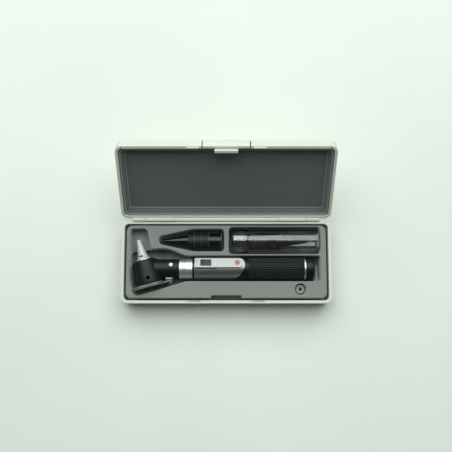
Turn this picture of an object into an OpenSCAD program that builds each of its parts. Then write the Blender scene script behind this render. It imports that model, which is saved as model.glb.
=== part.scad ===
/* [Case] */
// Outside width of the case
case_w = 208; // [150:0.5:260]
// Outside depth of the case, front to back
case_d = 81.4; // [60:0.2:120]
// Height of the base
base_h = 25; // [18:0.5:45]
// Height of the lid
lid_h = 15.6; // [10:0.2:40]
// Wall of base and lid
wall = 2.8; // [2:0.1:5]
// Floor of the base
floor_t = 2.2; // [1.5:0.1:5]
// Ceiling of the lid
ceiling_t = 2.4; // [1.5:0.1:5]
// Radius of the upright corners
corner_r = 7; // [4:0.5:15]
// Radius round the bottom edge of the base
base_edge_r = 3; // [1:0.5:6]
// Radius round the top edge of the lid
lid_edge_r = 4.2; // [1:0.2:6.5]
// Angle the lid stands open in the photograph
lid_open = 136.3; // [90:0.1:150]
// Gap between the two rims when the case is closed
rim_gap = 0.4; // [0.3:0.05:1]

/* [Hinge] */
// Radius of the hinge knuckles
knuckle_r = 2.1; // [1.6:0.1:4]
// Distance of the hinge axis behind the back wall
hinge_out = 1.38; // [1:0.02:4]
// Half width of the whole hinge
hinge_half = 93; // [40:1:120]
// Outer end of the lid knuckle
lid_knuckle_out = 80; // [30:1:110]
// Inner end of the lid knuckle
lid_knuckle_in = 52; // [10:1:100]
// Gap between knuckles along the axis
knuckle_gap = 0.35; // [0.3:0.05:1]
// Clearance cut round a knuckle of the other half
knuckle_clear = 0.35; // [0.3:0.05:1]
// Height of the web that carries a knuckle
web_h = 4.5; // [3:0.5:10]
// Radius of the hinge pins
pin_r = 1; // [0.6:0.05:1.5]
// Running clearance of the pins in the lid knuckles
pin_run = 0.05; // [0.02:0.01:0.1]
// Length of a pin inside the long middle knuckle
pin_reach = 12; // [5:1:30]

/* [Latch] */
// Half width of the opening for the tongue
latch_open_half = 23; // [12:0.5:40]
// Slit beside the tongue
latch_slit = 0.9; // [0.5:0.1:2]
// Height of the tongue from the lid rim
latch_h = 11.2; // [8:0.2:20]
// Gap at the root of the tongue
latch_root_gap = 0.35; // [0.3:0.05:1]
// Thickness of the tongue
latch_t = 2.6; // [1.5:0.1:4]
// Half width of the hook
hook_half = 10.9; // [5:0.1:20]
// Depth of the hook below the lid rim
hook_drop = 4.8; // [3:0.1:8]
// Thickness of the hook
hook_t = 1.6; // [1:0.1:3]
// Gap between the hook and the wall of the base
hook_gap = 0.4; // [0.3:0.05:1]
// Height of the nub on the hook
nub_h = 1.6; // [1:0.1:3]
// Distance the nub stands out of the hook
nub_out = 1.2; // [0.8:0.1:2]
// Clearance round the nub in the base
nub_clear = 0.4; // [0.3:0.05:1]
// Distance of a locating rib from the middle
rib_x = 31.4; // [15:0.1:80]
// Length of a locating rib
rib_l = 11.8; // [5:0.1:30]
// Thickness of a locating rib
rib_t = 0.9; // [0.6:0.1:1.5]
// Drop of a locating rib below the lid rim
rib_drop = 1.5; // [1:0.1:3]
// Clearance round a locating rib
rib_clear = 0.35; // [0.3:0.05:1]

/* [Tray] */
// Gap between the tray and the end walls
tray_gap_x = 2; // [0.5:0.1:6]
// Gap between the tray and the front wall
tray_gap_front = 2.3; // [2.1:0.1:6]
// Gap between the tray and the back wall
tray_gap_back = 1.3; // [0.5:0.1:6]
// Distance of the tray face below the rim
tray_drop = 1.5; // [1:0.1:10]
// Thickness of the formed tray
tray_t = 1.2; // [0.8:0.1:3]
// Radius of the tray corners
tray_r = 5.5; // [2:0.5:10]
// Half width of the notch in front of the latch
notch_half = 15; // [11.5:0.1:30]
// Depth of that notch
notch_d = 2.6; // [0.5:0.1:5]
// Floor of the pocket below the otoscope head
head_floor = 3.4; // [3.4:0.1:12]
// Floor of the pocket below the tip
tip_floor = 12; // [4:0.5:16]
// Floor of the pocket below the handle
handle_floor = 6.6; // [3.5:0.1:12]
// Floor of the pocket below the specula
specula_floor = 6.2; // [3.5:0.1:12]
// Floor of the pocket below the tube
tube_floor = 3.6; // [3.4:0.1:12]
// Floor of the round pocket
lamp_floor = 8; // [3.5:0.5:16]
// Radius of the round pocket
lamp_pocket_r = 6; // [5:0.1:10]
// Left end of the step at the end of the handle pocket
step_x = 87.5; // [87.3:0.1:89]
// Top of that step
step_top = 18; // [8:0.5:20]

/* [Liner] */
// Inset of the liner edge from the lid wall
liner_gap = 1.4; // [0.5:0.1:4]
// Depth of the liner edge below the lid rim
liner_lip = 4; // [2:0.5:8]
// Depth of the liner panel below the lid rim
liner_deep = 10.4; // [6:0.1:20]
// Inset of the liner panel from the lid wall
liner_inset = 4.8; // [2:0.1:10]
// Thickness of the liner
liner_t = 1.2; // [0.8:0.1:3]

/* [Otoscope handle] */
// Handle axis, front to back
handle_y = -6.3; // [-15:0.1:10]
// Height of the handle axis over the table
handle_z = 18.2; // [14:0.1:25]
// Left end of the metal collar
collar_x = -46.5; // [-60:0.5:-40]
// Length of the collar
collar_l = 13; // [8:0.5:20]
// Radius of the collar
collar_r = 10.2; // [8:0.1:12]
// Width of the dark joint ring
joint_l = 1.8; // [1:0.1:4]
// Radius of the dark joint ring
joint_r = 9.8; // [8:0.1:11]
// Radius of the upper metal shell
shell_r = 10.4; // [9.5:0.1:12]
// Where the slanted end of the shell crosses the axis
slant_x = 10.2; // [0:0.2:30]
// Slant of that end, length for each unit of height
slant_k = 0.8; // [0.2:0.05:1.2]
// Radius of the plain part of the grip
grip_plain_r = 10.6; // [9.5:0.1:12]
// Radius of the fluted part of the grip
grip_r = 11; // [9.5:0.1:12]
// Start of the flutes
flute_x = 22; // [15:0.5:40]
// Number of flutes
flute_n = 28; // [12:1:40]
// Radius of a flute
flute_r = 0.75; // [0.4:0.05:1.5]
// Right end of the grip
grip_x = 76.9; // [60:0.1:90]
// Width of the bright end ring
ring_l = 1.9; // [1:0.1:5]
// Radius of the bright end ring
ring_r = 11.1; // [10:0.1:12]
// Length of the end cap
cap_l = 7.9; // [5:0.1:15]
// Radius of the end cap
cap_r = 10.7; // [9:0.1:12]
// Inner radius of the battery tube
cell_tube_r = 7.5; // [7.2:0.05:8.5]
// Wall of the battery tube
cell_tube_t = 1.2; // [0.8:0.1:2]
// Radius of a battery
cell_r = 7.1; // [6:0.05:7.4]
// Length of a battery with its stud
cell_l = 50.5; // [44:0.1:51]
// Running clearance of the end cap in the tube
cap_run = 0.06; // [0.02:0.01:0.1]

/* [Clip and switch] */
// Roll of the clip round the handle
clip_roll = 24; // [0:1:60]
// Width of the clip
clip_w = 10.3; // [6:0.1:14]
// Left end of the clip
clip_x = -31.2; // [-34:0.1:-25]
// Right end of the clip
clip_end = 17.8; // [5:0.1:30]
// Thickness of the clip
clip_t = 1.1; // [0.8:0.1:2]
// Underside of the clip from the handle axis
clip_z = 11.8; // [11:0.1:13]
// Right end of the housing under the clip
housing_x = -9; // [-12:0.5:0]
// Left end of the switch slot
slot_x = -25.4; // [-28:0.1:-22]
// Length of the switch slot
slot_l = 10.5; // [8:0.1:14]
// Width of the switch slot
slot_w = 7; // [4:0.1:8]
// Length of the switch button
button_l = 6.3; // [4:0.1:8]
// Travel of the switch
button_travel = 3.6; // [2:0.1:5]
// Overlap of the switch plate under the ends of the slot
plate_lap = 0.4; // [0.2:0.1:0.8]
// Clearance round the switch
button_clear = 0.3; // [0.3:0.05:0.6]
// Height of the button over the clip
button_up = 0.5; // [0.2:0.1:2]
// Radius of the plain mark on the clip
mark_r = 2.5; // [1:0.1:4]

/* [Otoscope head] */
// Where the head axis crosses the handle axis
head_x = -80.1; // [-90:0.1:-70]
// Tilt of the head axis from square
head_tilt = 15.5; // [0:0.5:30]
// Largest radius of the head
head_r = 14.3; // [12:0.1:14.5]
// Radius of the head at its shoulder behind the flange
nose_r = 12.2; // [10:0.1:14]
// Rounding of that shoulder
nose_round = 1.6; // [0.5:0.1:2.5]
// Distance from the crossing to the window end
head_back = 15.5; // [10:0.1:20]
// Distance from the crossing to the metal flange
head_front = 8.2; // [5:0.1:12]
// Wall of the head
head_t = 1.6; // [1.2:0.1:3]
// Radius of the air port on top of the head
port_r = 1.6; // [0.8:0.1:2.5]
// Distance of the port from the crossing towards the window
port_back = 10.3; // [6:0.1:12]
// Distance of the port from the head axis, towards the handle
port_off = 1; // [-4:0.1:4]
// Radius of the neck
neck_r = 9.45; // [8:0.05:10.2]
// Inner radius of the neck
neck_in_r = 6.2; // [4:0.1:8]
// Radius of the metal flange
flange_r = 8.5; // [7:0.1:10]
// Thickness of the metal flange
flange_t = 1; // [0.6:0.1:2]
// Length of the metal cone from the flange
cone_l = 20.6; // [15:0.1:30]
// Radius of the cone at its tip
cone_tip_r = 1.95; // [1.5:0.05:3]
// Radius of the cone at its foot
cone_foot_r = 4.9; // [3.5:0.1:7]
// Wall of the cone
cone_t = 0.7; // [0.5:0.1:1.2]
// Left end of the slot in the foot of the cone
cone_slot_x = -3.7; // [-4:0.1:-2]
// Length of that slot
cone_slot_l = 6; // [3:0.1:7]
// Width of that slot
cone_slot_w = 1.3; // [0.8:0.1:2]
// Distance of the bottom of that slot from the axis
cone_slot_in = 3.2; // [3:0.1:4.5]
// Turn of that slot round the cone
cone_slot_turn = -17; // [-45:1:45]
// Radius of the round plug on the neck
plug_r = 1.95; // [1:0.05:3]
// Roll of the plug round the neck
plug_roll = 22; // [0:1:60]
// Radius of the light guide
guide_r = 1.2; // [0.6:0.1:2]

/* [Viewing window] */
// Half length of the window frame
window_half_l = 16; // [12:0.5:20]
// Half height of the window frame
window_half_h = 12.8; // [10:0.1:13]
// Corner radius of the window frame
window_r = 11; // [4:0.5:12.5]
// Thickness of the window frame
window_t = 3.4; // [2:0.1:5]
// Gap between the head and the window frame
window_gap = 0.5; // [0.3:0.1:1]
// Distance of the frame centre from the head axis
window_off = -2; // [-6:0.5:4]
// Width of the frame round the lens
window_rim = 2.2; // [1.5:0.1:4]
// Thickness of the lens
lens_t = 2; // [1:0.1:3]
// Distance of the pivot from the head axis
pivot_off = 20.4; // [17:0.1:24]
// Radius of the pivot screw
pivot_r = 1.2; // [0.8:0.1:2]
// Running clearance of the pivot
pivot_run = 0.05; // [0.02:0.01:0.1]
// Thickness of the lug on the pivot
lug_t = 2; // [1.2:0.1:3]
// Radius of the lug
lug_r = 3.2; // [2.5:0.1:5]

/* [Reusable specula] */
// Axis of the stack, front to back
specula_y = 21.85; // [10:0.05:30]
// Height of the axis of the stack
specula_z = 15.5; // [10:0.1:20]
// Left end of the stack
specula_x = -63.8; // [-80:0.1:-50]
// Shift from one speculum to the next
specula_pitch = 7; // [5:0.1:10]
// Radius of the tip
spec_tip_r = 1.7; // [1.2:0.05:3]
// Radius at the end of the cone
spec_cone_r = 5.8; // [4:0.1:7]
// Length of the cone
spec_cone_l = 25.6; // [20:0.1:32]
// Radius of the skirt
spec_skirt_r = 7.9; // [6:0.1:9]
// Radius of the rim
spec_rim_r = 8.7; // [7:0.1:10]
// Length of the skirt on the last speculum
spec_long = 12.6; // [7:0.1:14]
// Wall of a speculum
spec_t = 0.7; // [0.5:0.05:1.2]

/* [Tube of disposable specula] */
// Axis of the tube, front to back
tube_y = 21.5; // [10:0.1:30]
// Height of the tube axis
tube_z = 16.2; // [12:0.1:20]
// Left end of the tube cap
tube_x = 5.7; // [3:0.1:15]
// Right end of the tube
tube_end = 92.6; // [60:0.1:93]
// Radius of the tube
tube_r = 12; // [8:0.1:13]
// Wall of the tube
tube_t = 1; // [0.6:0.1:2]
// Radius of the tube cap
tube_cap_r = 12.3; // [8:0.1:13]
// Length of the tube cap
tube_cap_l = 14.6; // [8:0.1:25]
// Wall of the tube cap
tube_cap_t = 1.1; // [0.8:0.1:2]
// Running clearance of the cap on the tube
tube_run = 0.08; // [0.02:0.01:0.1]
// Number of disposable specula
disposable_n = 10; // [1:1:11]
// Shift from one disposable speculum to the next
disposable_pitch = 4.6; // [4.2:0.1:6]

/* [Spare lamp] */
// Centre of the spare lamp, left to right
lamp_x = 73.3; // [60:0.1:85]
// Centre of the spare lamp, front to back
lamp_y = -26.8; // [-30:0.1:-20]
// Radius of the lamp flange
lamp_r = 4.6; // [3:0.1:5.5]
// Height of the lamp top over the table
lamp_top = 19; // [14:0.5:21]

/* [Hidden] */
$fn = 64;
e = 0.01;
hinge_y = case_d / 2 + hinge_out;
hinge_z = base_h;
in_w = case_w - 2 * wall;
in_d = case_d - 2 * wall;
front_y = -case_d / 2;
button_x = slot_x + slot_l - button_clear - button_l;
plate_x = button_x - button_travel - plate_lap;
plate_l = button_l + 2 * (button_travel + plate_lap);
tray_w = in_w - 2 * tray_gap_x;
tray_d = in_d - tray_gap_front - tray_gap_back;
tray_y = (tray_gap_front - tray_gap_back) / 2;
lid_z = base_h + rim_gap;
tray_top = base_h - tray_drop;
latch_half = latch_open_half - latch_slit;
latch_top = lid_z + latch_h;
latch_y = front_y + latch_t / 2;
latch_z = latch_top - 0.6;
hook_y = front_y + wall + hook_gap;
shell_x = collar_x + collar_l + joint_l;
cell_x = shell_x + 5.7;
ring_x = grip_x;
cap_x = grip_x + ring_l;
cell_end = cell_x + 2 * cell_l;
flange_y = head_front;
frame_y = -head_back - window_gap;
tongue_pivot = [0, latch_y, latch_z];

// Shared shapes

module rounded_2d(w, d, r) {
    square([w - 2 * r, d], center = true);
    square([w, d - 2 * r], center = true);
    for (sx = [-1, 1], sy = [-1, 1])
        translate([sx * (w / 2 - r), sy * (d / 2 - r)]) circle(r);
}

// Half profile of a tub wall, x outward from the corner centre
module tub_profile(h, r, edge) {
    difference() {
        square([r, h]);
        translate([r - edge, 0]) square([edge + 1, edge]);
    }
    intersection() {
        square([r, h]);
        translate([r - edge, edge]) circle(edge);
    }
}

// Tub with upright corner radius r and a rounded edge at z = 0
module tub(w, d, h, r, edge) {
    translate([-w / 2 + r, -d / 2 + r, 0]) cube([w - 2 * r, d - 2 * r, h]);
    for (k = [0, 1, 2, 3]) {
        sx = (k == 0 || k == 3) ? 1 : -1;
        sy = (k < 2) ? 1 : -1;
        translate([sx * (w / 2 - r), sy * (d / 2 - r), 0]) rotate([0, 0, 90 * k])
            rotate_extrude(angle = 90) tub_profile(h, r, edge);
        long = (k % 2 == 0) ? d - 2 * r : w - 2 * r;
        away = (k % 2 == 0) ? w / 2 - r : d / 2 - r;
        rotate([0, 0, 90 * k]) translate([away, long / 2, 0]) rotate([90, 0, 0])
            linear_extrude(long) tub_profile(h, r, edge);
    }
}

module along_hinge(x1, x2, r) {
    translate([x1, hinge_y, hinge_z]) rotate([0, 90, 0]) cylinder(h = x2 - x1, r = r);
}

module along_handle(x1, x2, r, r2 = -1) {
    translate([x1, handle_y, handle_z]) rotate([0, 90, 0])
        cylinder(h = x2 - x1, r1 = r, r2 = r2 < 0 ? r : r2);
}

// Turns closed lid parts to the open position
module opened() {
    translate([0, hinge_y, hinge_z]) rotate([-lid_open, 0, 0])
        translate([0, -hinge_y, -hinge_z]) children();
}

// Clip side of the handle, z away from its axis
module rolled(a) {
    translate([0, handle_y, handle_z]) rotate([-a, 0, 0]) children();
}

// Head frame, y towards the tip
module in_head() {
    translate([head_x, handle_y, handle_z]) rotate([0, 0, head_tilt]) children();
}

// Head frame turned so that z runs towards the tip
module along_head() {
    in_head() rotate([-90, 0, 0]) children();
}

// Case

module knuckle(x1, x2, up) {
    along_hinge(x1, x2, knuckle_r);
    translate([x1, 0, hinge_z]) rotate([90, 0, 90]) linear_extrude(x2 - x1) polygon([
        [case_d / 2 - 0.8, 0], [hinge_y + knuckle_r, 0], [hinge_y + knuckle_r, up * 0.9],
        [case_d / 2, up * web_h], [case_d / 2 - 0.8, up * web_h]]);
}

module base_shell() {
    color([0.93, 0.94, 0.90]) difference() {
        union() {
            difference() {
                tub(case_w, case_d, base_h, corner_r, base_edge_r);
                translate([0, 0, floor_t])
                    tub(in_w, in_d, base_h, corner_r - wall, 1.5);
            }
            knuckle(-hinge_half, -lid_knuckle_out - knuckle_gap, -1);
            knuckle(lid_knuckle_out + knuckle_gap, hinge_half, -1);
            knuckle(-lid_knuckle_in + knuckle_gap, lid_knuckle_in - knuckle_gap, -1);
        }
        for (m = [0, 1]) mirror([m, 0, 0]) {
            along_hinge(lid_knuckle_in - knuckle_gap, lid_knuckle_out + knuckle_gap,
                knuckle_r + knuckle_clear);
            along_hinge(lid_knuckle_in - pin_reach, hinge_half + 1, pin_r);
            translate([rib_x - rib_l / 2 - rib_clear, front_y + wall / 2 - rib_t / 2 - rib_clear,
                base_h + rim_gap - rib_drop - rib_clear])
                cube([rib_l + 2 * rib_clear, rib_t + 2 * rib_clear, rib_drop + 1]);
        }
        translate([-hook_half - nub_clear, hook_y - nub_out - nub_clear, lid_z - hook_drop - nub_clear])
            cube([2 * (hook_half + nub_clear), nub_out + 1, nub_h + 2 * nub_clear + 0.8]);
    }
}

module hinge_pins() {
    color([0.62, 0.63, 0.64]) for (m = [0, 1]) mirror([m, 0, 0])
        along_hinge(lid_knuckle_in - pin_reach + 0.3, hinge_half - 0.5, pin_r);
}

// Tray

module rounded_poly(points, r, grow) {
    offset(r = r + grow, $fn = 24) offset(delta = -r) polygon(points);
}

module head_pocket_2d(g) {
    rounded_poly([[-60.5, 13.6], [-73.7, 13], [-95.4, 11], [-96.2, -13], [-94.4, -27],
        [-90.4, -33.9], [-60.5, -25.2]], 2, g);
}

module neck_pocket_2d(g) {
    rounded_poly([[-76, 12.8], [-60.1, 13.6], [-50, 10.4], [-40.8, 6.3], [-30, 6.3], [-30, -18.9],
        [-38.3, -18.6], [-76, -30]], 2, g);
}

module tip_pocket_2d(g) {
    rounded_poly([[-95.4, 33.3], [-79.4, 33.3], [-73.7, 8], [-95.4, 8]], 3, g);
}

module handle_pocket_2d(g) {
    rounded_poly([[-48, 6.3], [93.2, 6.3], [93.2, -19], [-48, -19]], 2, g);
}

module specula_pocket_2d(g) {
    rounded_poly([[-67.5, 25.4], [-63, 26.7], [-32.7, 33.1], [-2.2, 33.1], [-2.2, 10.6], [-32.7, 10.6],
        [-63, 17.0], [-67.5, 18.4]], 2.6, g);
}

module tube_pocket_2d(g) {
    rounded_poly([[2.5, 35.1], [93.3, 35.1], [93.3, 7.9], [2.5, 7.9]], 3.5, g);
}

module pockets(g) {
    translate([0, 0, head_floor - g]) linear_extrude(40) head_pocket_2d(g);
    translate([0, 0, handle_floor - g]) linear_extrude(40) neck_pocket_2d(g);
    translate([0, 0, handle_floor - g]) linear_extrude(40) handle_pocket_2d(g);
    translate([0, 0, tip_floor - g]) linear_extrude(40) tip_pocket_2d(g);
    translate([0, 0, specula_floor - g]) linear_extrude(40) specula_pocket_2d(g);
    translate([0, 0, tube_floor - g]) linear_extrude(40) tube_pocket_2d(g);
    translate([lamp_x, lamp_y, lamp_floor - g]) cylinder(h = 40, r = lamp_pocket_r + g);
    translate([-notch_half - g, tray_y - tray_d / 2 - 5, floor_t + 10 - g])
        cube([2 * (notch_half + g), notch_d + 5 + g, 40]);
}

module tray_insert() {
    color([0.52, 0.54, 0.52]) difference() {
        union() {
            difference() {
                translate([0, tray_y, floor_t]) linear_extrude(tray_top - floor_t)
                    rounded_2d(tray_w, tray_d, tray_r);
                translate([0, tray_y, floor_t - 1]) linear_extrude(tray_top - tray_t - floor_t + 1)
                    rounded_2d(tray_w - 2 * tray_t, tray_d - 2 * tray_t, tray_r - tray_t);
            }
            intersection() {
                pockets(tray_t);
                translate([0, tray_y, floor_t]) linear_extrude(tray_top - floor_t)
                    rounded_2d(tray_w, tray_d, tray_r);
            }
        }
        pockets(0);
    }
    color([0.52, 0.54, 0.52]) translate([0, 0, handle_floor - 0.5])
        linear_extrude(step_top - handle_floor + 0.5)
            polygon([[step_x, -19.4], [92.2, -19.4], [90.4, -2.6], [89.3, -2.6]]);
}

// Lid

module lid_closed() {
    translate([0, 0, lid_z + lid_h]) mirror([0, 0, 1]) difference() {
        tub(case_w, case_d, lid_h, corner_r, lid_edge_r);
        translate([0, 0, ceiling_t]) tub(in_w, in_d, lid_h, corner_r - wall, 2);
    }
    for (m = [0, 1]) mirror([m, 0, 0]) {
        knuckle(lid_knuckle_in, lid_knuckle_out, 1);
        translate([rib_x - rib_l / 2, front_y + wall / 2 - rib_t / 2, lid_z - rib_drop])
            cube([rib_l, rib_t, rib_drop + 2]);
    }
    for (sx = [-1, 1], sy = [-1, 1])
        translate([sx * in_w * 0.36, sy * in_d * 0.28, lid_z + liner_deep + liner_t])
            cylinder(h = lid_h - liner_deep - liner_t - ceiling_t + 0.5, r = 4);
}

module lid_shell() {
    color([0.93, 0.94, 0.90]) opened() difference() {
        lid_closed();
        translate([-latch_open_half, front_y - 1, lid_z - 1])
            cube([2 * latch_open_half, wall + 1 + 0.3, latch_h + 1 + latch_root_gap]);
        for (m = [0, 1]) mirror([m, 0, 0]) {
            along_hinge(lid_knuckle_out, hinge_half + knuckle_gap, knuckle_r + knuckle_clear);
            along_hinge(lid_knuckle_in - 1, lid_knuckle_out + 1, pin_r + pin_run);
        }
        along_hinge(-lid_knuckle_in, lid_knuckle_in, knuckle_r + knuckle_clear);
    }
}

module liner_body(grow) {
    hull() {
        translate([0, 0, lid_z + liner_lip - e]) linear_extrude(0.4)
            rounded_2d(in_w - 2 * liner_gap - 3 + 2 * grow, in_d - 2 * liner_gap - 3 + 2 * grow, 3.5 + grow);
        translate([0, 0, lid_z + liner_deep - 0.4 + grow]) linear_extrude(0.4)
            rounded_2d(in_w - 2 * liner_inset + 2 * grow, in_d - 2 * liner_inset + 2 * grow, 3 + grow);
    }
}

module lid_liner() {
    color([0.34, 0.36, 0.35]) opened() difference() {
        union() {
            translate([0, 0, lid_z + liner_lip]) linear_extrude(liner_t)
                rounded_2d(in_w - 2 * liner_gap, in_d - 2 * liner_gap, 4);
            difference() {
                liner_body(liner_t, $fn = 24);
                translate([0, 0, lid_z + liner_lip - 2]) cube([400, 400, 4], center = true);
            }
        }
        liner_body(0, $fn = 24);
    }
}

module latch_tongue() {
    color([0.93, 0.94, 0.90]) opened() {
        translate([-latch_half, front_y, lid_z]) cube([2 * latch_half, latch_t, latch_h]);
        translate([-hook_half, front_y + latch_t - e, lid_z + 0.6])
            cube([2 * hook_half, hook_y + hook_t - front_y - latch_t + e, 2.6]);
        translate([-hook_half, hook_y, lid_z - hook_drop]) cube([2 * hook_half, hook_t, hook_drop + 2]);
        translate([-hook_half, hook_y - nub_out, lid_z - hook_drop])
            cube([2 * hook_half, nub_out + e, nub_h]);
    }
}

// Otoscope head

// Barrel along the head axis, straight behind and a little tapered towards its shoulder
module barrel(r, nose, front, back, round) {
    rotate_extrude($fn = 72) {
        polygon([[0, back], [r, back], [r, back + 4.5], [nose, front - round],
            [nose - round, front], [0, front]]);
        translate([nose - round, front - round]) intersection() {
            circle(round, $fn = 48);
            square([round, round]);
        }
    }
}

module head_housing() {
    color([0.10, 0.10, 0.11]) difference() {
        union() {
            along_head() barrel(head_r, nose_r, head_front, -head_back, nose_round);
            along_handle(head_x + 6, collar_x - 0.6, neck_r);
            along_handle(collar_x - 0.6, collar_x, neck_r - 0.4);
        }
        along_head() barrel(head_r - head_t, nose_r - head_t, head_front - 2.4, -head_back - 1, 1);
        along_head() translate([port_off, 0, -port_back]) rotate([90, 0, 0])
            cylinder(h = 20, r = port_r, $fn = 32);
        along_head() cylinder(h = 20, r = cone_foot_r - 0.5, $fn = 48);
        along_handle(collar_x - 11.5, collar_x + 1, neck_in_r);
        rolled(plug_roll) translate([-54.7, 0, 0]) cylinder(h = 20, r = plug_r, $fn = 32);
        light_path();
        along_head() translate([pivot_off, 0, -head_back - 3]) cylinder(h = 5.8, r = pivot_r, $fn = 32);
    }
}

module neck_plug() {
    color([0.92, 0.92, 0.90]) rolled(plug_roll) translate([-54.7, 0, neck_in_r + 0.6])
        cylinder(h = neck_r - neck_in_r - 0.5, r = plug_r, $fn = 32);
}

// Flange and cone share the bore of the speculum end
module specula_flange() {
    color([0.85, 0.86, 0.87]) along_head() difference() {
        union() {
            translate([0, 0, head_front]) cylinder(h = flange_t, r = flange_r);
            translate([0, 0, head_front - 2.4]) cylinder(h = 2.6, r = cone_foot_r - 0.5, $fn = 48);
        }
        cylinder(h = 30, r = cone_foot_r - 0.5 - cone_t, $fn = 48);
    }
}

module metal_cone() {
    color([0.80, 0.81, 0.82]) along_head() difference() {
        translate([0, 0, head_front + flange_t]) rotate_extrude($fn = 48) polygon([
            [0, 0], [flange_r - 1.1, 0], [cone_foot_r + 0.6, 2.4], [cone_foot_r, 4.6],
            [cone_tip_r, cone_l], [0, cone_l]]);
        translate([0, 0, head_front + flange_t - 1]) rotate_extrude($fn = 48) polygon([
            [0, 0], [cone_foot_r - 0.5 - cone_t, 0], [cone_foot_r - 0.5 - cone_t, 4.6],
            [cone_tip_r - cone_t, cone_l + 2], [0, cone_l + 2]]);
        rotate([0, 0, cone_slot_turn]) translate([cone_slot_x, -8, head_front + flange_t + 3])
            cube([cone_slot_l, 8 - cone_slot_in, cone_slot_w]);
    }
}

// Straight light guide from the bulb to the front wall of the head
module light_path() {
    start = [collar_x - 11.1, handle_y, handle_z];
    run = [-18.6, 7.9, 0];
    translate(start) rotate([0, 0, atan2(run[1], run[0])]) rotate([0, 90, 0])
        cylinder(h = norm(run), r = guide_r);
}

module light_guide() {
    color([0.75, 0.80, 0.82]) light_path();
}

module bulb_glass() {
    color([0.85, 0.88, 0.88]) {
        along_handle(collar_x - 6.5, collar_x + 1.5, 3);
        translate([collar_x - 6.5, handle_y, handle_z]) sphere(r = 3, $fn = 32);
    }
}

module bulb_base() {
    color([0.72, 0.58, 0.30]) difference() {
        along_handle(collar_x + 1.5, collar_x + collar_l - 1, 4.4);
        along_handle(collar_x + 1, collar_x + 2.5, 2.6);
    }
}

// Window

module pivot_bracket() {
    color([0.72, 0.73, 0.74]) difference() {
        in_head() translate([pivot_off - 4, frame_y - 0.7, -3.4]) cube([8, 8, 6.8]);
        along_handle(head_x, 0, neck_r);
        along_head() translate([0, 0, -head_back - 1]) cylinder(h = 30, r = head_r + 0.4);
        along_head() translate([pivot_off, 0, -head_back - 6]) cylinder(h = 20, r = pivot_r, $fn = 32);
    }
}

module pivot_screw() {
    color([0.80, 0.81, 0.82]) along_head() translate([pivot_off, 0, 0]) {
        translate([0, 0, frame_y - 1.3 - lug_t]) cylinder(h = lug_t + 4.4, r = pivot_r, $fn = 32);
        translate([0, 0, frame_y - 2.5 - lug_t]) cylinder(h = 1.2, r = 2.2, $fn = 32);
    }
}

module window_frame() {
    color([0.30, 0.31, 0.31]) along_head() difference() {
        union() {
            translate([window_off, 0, frame_y - window_t]) linear_extrude(window_t)
                rounded_2d(2 * window_half_l, 2 * window_half_h, window_r);
            translate([0, 0, frame_y - 1 - lug_t]) linear_extrude(lug_t) {
                translate([pivot_off, 0]) circle(lug_r);
                translate([window_off + window_half_l - 4, -lug_r])
                    square([pivot_off - window_off - window_half_l + 4, 2 * lug_r]);
            }
        }
        translate([pivot_off, 0, -40]) cylinder(h = 40, r = pivot_r + pivot_run);
        translate([window_off, 0, frame_y - window_t - 1]) linear_extrude(window_t + 2)
            rounded_2d(2 * (window_half_l - window_rim), 2 * (window_half_h - window_rim),
                window_r - window_rim);
    }
}

module window_lens() {
    color([0.80, 0.86, 0.86]) along_head() translate([window_off, 0, frame_y - window_t / 2 - lens_t / 2])
        linear_extrude(lens_t) rounded_2d(2 * (window_half_l - window_rim),
            2 * (window_half_h - window_rim), window_r - window_rim);
}

// Handle

module head_collar() {
    x1 = collar_x;
    x2 = collar_x + collar_l;
    color([0.78, 0.79, 0.80]) difference() {
        union() {
            along_handle(x1, x2, collar_r);
            along_handle(x1 - 5, x1 + 1, neck_in_r);
        }
        for (g = [3.4, 5.0])
            difference() {
                along_handle(x1 + g, x1 + g + 0.5, collar_r + 1);
                along_handle(x1 + g - 1, x1 + g + 1.5, collar_r - 0.3);
            }
        along_handle(x1 + 1.5, x2 + 1, 4.4);
        along_handle(x1 - 6, x1 + 2, 3.4);
    }
}

module joint_ring() {
    color([0.12, 0.12, 0.12]) difference() {
        along_handle(shell_x - joint_l, shell_x, joint_r);
        along_handle(shell_x - joint_l - 1, shell_x + 1, 2.4);
    }
}

module contact_bush() {
    color([0.86, 0.85, 0.80]) difference() {
        along_handle(shell_x, cell_x - 1.5, cell_tube_r);
        along_handle(shell_x - 1, cell_x, 1.5);
    }
}

module contact_pin() {
    color([0.78, 0.63, 0.32]) {
        along_handle(collar_x + collar_l - 1, cell_x - 1.5, 1.5);
        along_handle(cell_x - 1.5, cell_x, 5);
    }
}

module slant_block(x) {
    rolled(clip_roll) translate([slant_x, 0, 0]) rotate([0, atan(slant_k), 0])
        translate([x, -30, -40]) cube([80, 60, 80]);
}

module upper_shell() {
    color([0.62, 0.63, 0.64]) difference() {
        along_handle(shell_x, slant_x + 20, shell_r);
        along_handle(shell_x - 1, slant_x + 21, cell_tube_r + cell_tube_t);
        slant_block(0);
    }
}

module battery_tube() {
    color([0.70, 0.70, 0.70]) difference() {
        along_handle(shell_x, grip_x, cell_tube_r + cell_tube_t);
        along_handle(shell_x - 1, grip_x + 1, cell_tube_r);
    }
}

module cell(x) {
    along_handle(x + 1, x + cell_l, cell_r);
    along_handle(x, x + 1 + e, 2.75);
}

module battery_front() {
    color([0.35, 0.42, 0.40]) cell(cell_x);
}

module battery_rear() {
    color([0.35, 0.42, 0.40]) cell(cell_x + cell_l);
}

module contact_spring() {
    color([0.80, 0.80, 0.78]) difference() {
        along_handle(cell_end, grip_x + 0.1, cell_tube_r);
        along_handle(cell_end + 0.5, grip_x + 1, cell_tube_r - 0.5, cell_tube_r - 0.5);
    }
}

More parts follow.
